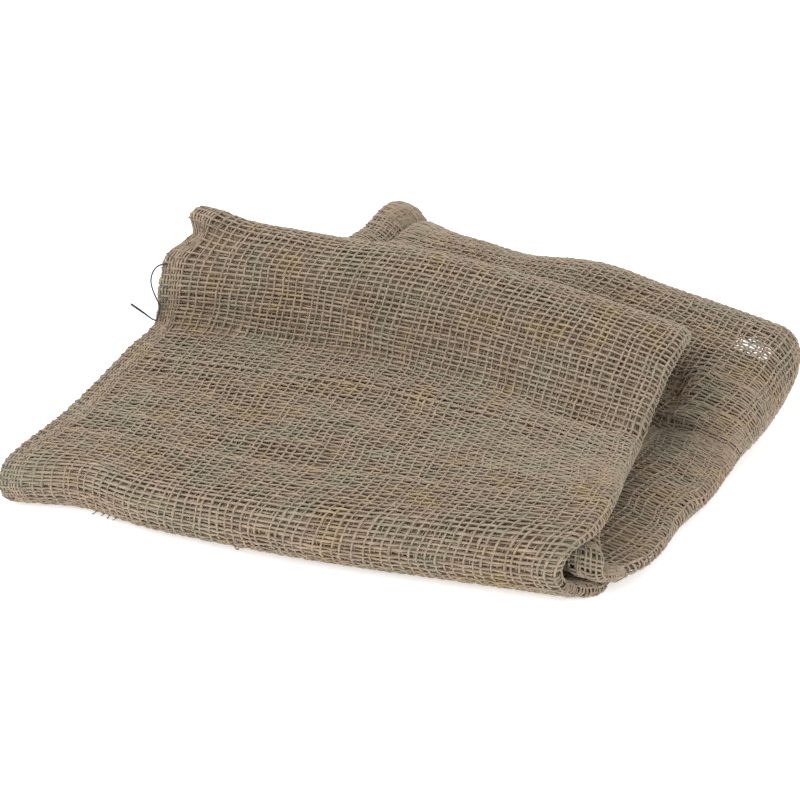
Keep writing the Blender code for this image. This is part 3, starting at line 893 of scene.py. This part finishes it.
# ---------------------------------------------------------------------------------------------
# The hairs of the jute: fine fibre ends that stand out of the spun yarns all over the cloth, most
# of them lying nearly along the yarn that they come from.
# ---------------------------------------------------------------------------------------------
HAIRS = 3000
HAIR = 0.14                # thickness of a hair at its root
HAIR_TAPER = 0.6           # the share of it that is gone at its tip
HAIR_LENGTHS = (3, 10)
HAIR_STANDS_OFF = (0.1, 1.6)       # how far its tip stands off the yarn
HAIR_LEAN = 0.45           # how far it strays from its yarn's way, in radians
HAIR_BEND = 0.5            # and how far it bends
HAIR_POINTS = 3


def hairs():
    """Fine bent fibres, each along one yarn or another and thinner towards its tip."""
    random = np.random.default_rng(7)
    first, last = along_to("front fold 0"), PATH[-1]
    start = np.stack((random.uniform(first, last, HAIRS), random.uniform(0, 1.05, HAIRS)), axis=-1)
    heading = random.normal(0, HAIR_LEAN, HAIRS) + np.pi / 2 * random.integers(0, 2, HAIRS)
    length = random.uniform(*HAIR_LENGTHS, HAIRS)
    stands_off = random.uniform(*HAIR_STANDS_OFF, HAIRS)
    bend = random.normal(0, HAIR_BEND, HAIRS)
    share = np.linspace(0, 1, HAIR_POINTS)
    turned = heading[:, None] + bend[:, None] * share
    along = start[:, :1] + np.sin(turned) * length[:, None] * share
    s = start[:, 1:] + np.cos(turned) * length[:, None] * share / (WARP_GAP * WARPS)
    point, outward = cloth_at(np.clip(along, 0, PATH[-1]), s, OUTER)
    height = CROSSWISE_YARN / 2 + stands_off[:, None] * share**1.5
    thick = np.broadcast_to(HAIR * (1 - HAIR_TAPER * share), s.shape)
    return Bundle(off_floor(point + outward * height[..., None], HAIR), outward, thick,
                  np.broadcast_to(length[:, None] * share, s.shape), np.arange(HAIRS))


yarn_piece("jute_hairs", (hairs(),), 3, jute_yarn)

# ---------------------------------------------------------------------------------------------
# Thread ends: short snips of the grey thread, left caught in the weave at the front fold and at
# the right edge when the sack was sewn.
# ---------------------------------------------------------------------------------------------
SNIP = 0.85                # thickness of a thread end where it leaves the cloth
SNIP_TAPER = 0.6           # the share of it that is gone at its tip

# Each thread end: a row and s, where it starts, the millimetres that it runs along and across
# the cloth, and how far it stands off.
THREAD_ENDS = (
    ("front fold 1", 0.165, -7.0, -7.0, 2.6),
    ("front fold 1", 0.180, -6.5, -6.0, 2.0),
    ("front fold 1", 0.190, -7.5, -5.5, 3.2),
    ("front fold 1", 0.205, -6.0, -6.0, 2.2),
    ("front fold 1", 0.425, -7.5, -3.0, 2.8),
    ("front fold 1", 0.432, -6.0, -5.0, 2.0),
    ("third middle", 1.03, 3.0, 3.0, 2.6),
    ("third middle", 1.04, -3.0, 3.5, 2.2),
)


def thread_ends():
    """The thread ends, each one thinner towards its tip."""
    share = np.linspace(0, 1, 6)
    centres, outwards = [], []
    for row, s, run_along, run_across, stands_off in THREAD_ENDS:
        point, outward = cloth_at(along_to(row) + run_along * share,
                                  s + run_across * share / (WARP_GAP * WARPS), OUTER)
        centres.append(point + outward * (CROSSWISE_YARN / 2 + stands_off * share)[:, None])
        outwards.append(outward)
    centre = off_floor(np.array(centres), SNIP / 2)
    thick = np.broadcast_to(SNIP * (1 - SNIP_TAPER * share), centre.shape[:2])
    return Bundle(centre, np.array(outwards), thick, np.broadcast_to(8 * share, thick.shape),
                  np.arange(len(centre)))


yarn_piece("thread_ends", (thread_ends(),), 4, grey_thread)

# ---------------------------------------------------------------------------------------------
# The end of the seam's thread, which has come loose at the left of the roll: it bows out in a
# loop, goes under a stitch and ends free, where its twist has opened and left it thicker. It is
# the same grey thread, undulled.
# ---------------------------------------------------------------------------------------------
LOOSE_THREAD = 1.0         # its thickness
OPENED_END = 0.5           # how much thicker it is at the free end
OPENED_FROM = 0.75         # the share of its length from which it is opened
OPENED_OVER = 0.15         # and the share over which it opens
THREAD_UP = (-1.0, -1.0, 0.5)      # a way out of it that suits its whole length
LOOSE_THREAD_LINE = (      # x, y and z
    (-128.6, -13.0, 67.0), (-132.5, -15.0, 65.8), (-134.7, -17.0, 62.8), (-135.2, -19.0, 58.9),
    (-133.9, -21.0, 55.8), (-132.4, -22.0, 53.0), (-130.8, -22.0, 49.0), (-129.9, -21.0, 45.0),
    (-130.8, -21.5, 40.0), (-131.8, -24.0, 37.4), (-137.1, -26.0, 41.9), (-143.5, -28.0, 47.3),
)
LOOSE_THREAD_SHADE = (0.055, 0.066, 0.075)
STRAND_STRETCH = (2.0, 6.0, 1.0)
STRAND_TWIST = 0.5
# how dark the painted shade between its strands is, and how pale the strands are
STRAND_PAINTED_SHADES = (0.5, 1.6)


def smooth_line(points, steps):
    """A smooth line through some points, with that many steps from each to the next."""
    points = np.array(points)
    slopes = np.gradient(points, axis=0)
    i, t = np.divmod(np.arange((len(points) - 1) * steps + 1) / steps, 1)
    i, t = i.astype(int), t[:, None]
    j = np.minimum(i + 1, len(points) - 1)
    return smooth_way(t, points[i], slopes[i], points[j], slopes[j])


def loose_thread_finish():
    """The grey thread where no wear has dulled it: twisted strands, with painted shade between
    them.
    """
    finish, tree, shader = new_finish("loose grey thread")
    strands = patches(tree, along_yarn(tree, STRAND_STRETCH, STRAND_TWIST), 1.0, flat=True)
    light = spread(tree, strands, *STRAND_PAINTED_SHADES, 0.0, 1.0)
    colour = add_node(tree, "ShaderNodeVectorMath", {0: LOOSE_THREAD_SHADE, "Scale": light},
                      operation="SCALE")
    tree.links.new(colour.outputs["Vector"], shader.inputs["Base Color"])
    return finish


line = smooth_line(LOOSE_THREAD_LINE, 5)
line_length = np.concatenate(([0.0], np.cumsum(np.linalg.norm(np.diff(line, axis=0), axis=1))))
opened = np.clip((line_length / line_length[-1] - OPENED_FROM) / OPENED_OVER, 0, 1)
thread = Bundle(line[None], np.broadcast_to(THREAD_UP, line.shape)[None],
                LOOSE_THREAD * (1 + OPENED_END * opened)[None], line_length[None], np.array([1]))
loose_thread = yarn_piece("loose_thread", (thread,), 8, loose_thread_finish())

# ---------------------------------------------------------------------------------------------
# The studio: a pale floor, soft light from all round, a large soft lamp at the front left, and
# the camera, which looks down on the sack from its front right.
# ---------------------------------------------------------------------------------------------
FLOOR_SIDE = 40.0
FLOOR_TONE = (0.95, 0.95, 0.95, 1.0)
FLOOR_GLOW = 0.5
WHITE = (1.0, 1.0, 1.0, 1.0)
SKY_LIGHT = 1.15
LAMP_POWER = 11.0
LAMP_SIZE = 1.2
LAMP_PLACE = (-1.1, -0.6, 1.1)

half = FLOOR_SIDE / 2
floor_mesh = bpy.data.meshes.new("floor")
floor_mesh.from_pydata([(-half, -half, 0), (half, -half, 0), (half, half, 0), (-half, half, 0)], [],
                       [(0, 1, 2, 3)])
floor = bpy.data.objects.new("floor", floor_mesh)
bpy.context.scene.collection.objects.link(floor)
pale = bpy.data.materials.new("pale floor")
pale.use_nodes = True
for socket, value in (("Base Color", FLOOR_TONE), ("Roughness", 0.9), ("Emission Color", WHITE),
                      ("Emission Strength", FLOOR_GLOW)):
    pale.node_tree.nodes["Principled BSDF"].inputs[socket].default_value = value
floor_mesh.materials.append(pale)

world = bpy.data.worlds.new("studio")
world.use_nodes = True
world.node_tree.nodes["Background"].inputs["Color"].default_value = WHITE
world.node_tree.nodes["Background"].inputs["Strength"].default_value = SKY_LIGHT
bpy.context.scene.world = world
bpy.context.scene.view_settings.view_transform = "Standard"

lamp = bpy.data.lights.new("lamp", "AREA")
lamp.energy = LAMP_POWER
lamp.size = LAMP_SIZE
lamp_stand = bpy.data.objects.new("lamp", lamp)
bpy.context.scene.collection.objects.link(lamp_stand)
lamp_stand.location = LAMP_PLACE
lamp_stand.rotation_euler = (-lamp_stand.location).to_track_quat("-Z", "Y").to_euler()

CAMERA_AZIMUTH = radians(19.5)
CAMERA_ELEVATION = radians(31.0)
CAMERA_DISTANCE = 1.35
CAMERA_LENS = 112.5
LOOKS_AT = Vector(SHIFT * MM)
camera = bpy.data.cameras.new("camera")
camera.lens = CAMERA_LENS
camera.clip_start = 0.01
tripod = bpy.data.objects.new("camera", camera)
bpy.context.scene.collection.objects.link(tripod)
back = Vector((sin(CAMERA_AZIMUTH) * cos(CAMERA_ELEVATION),
               -cos(CAMERA_AZIMUTH) * cos(CAMERA_ELEVATION), sin(CAMERA_ELEVATION)))
tripod.location = LOOKS_AT + back * CAMERA_DISTANCE
tripod.rotation_euler = (-back).to_track_quat("-Z", "Y").to_euler()
bpy.context.scene.camera = tripod
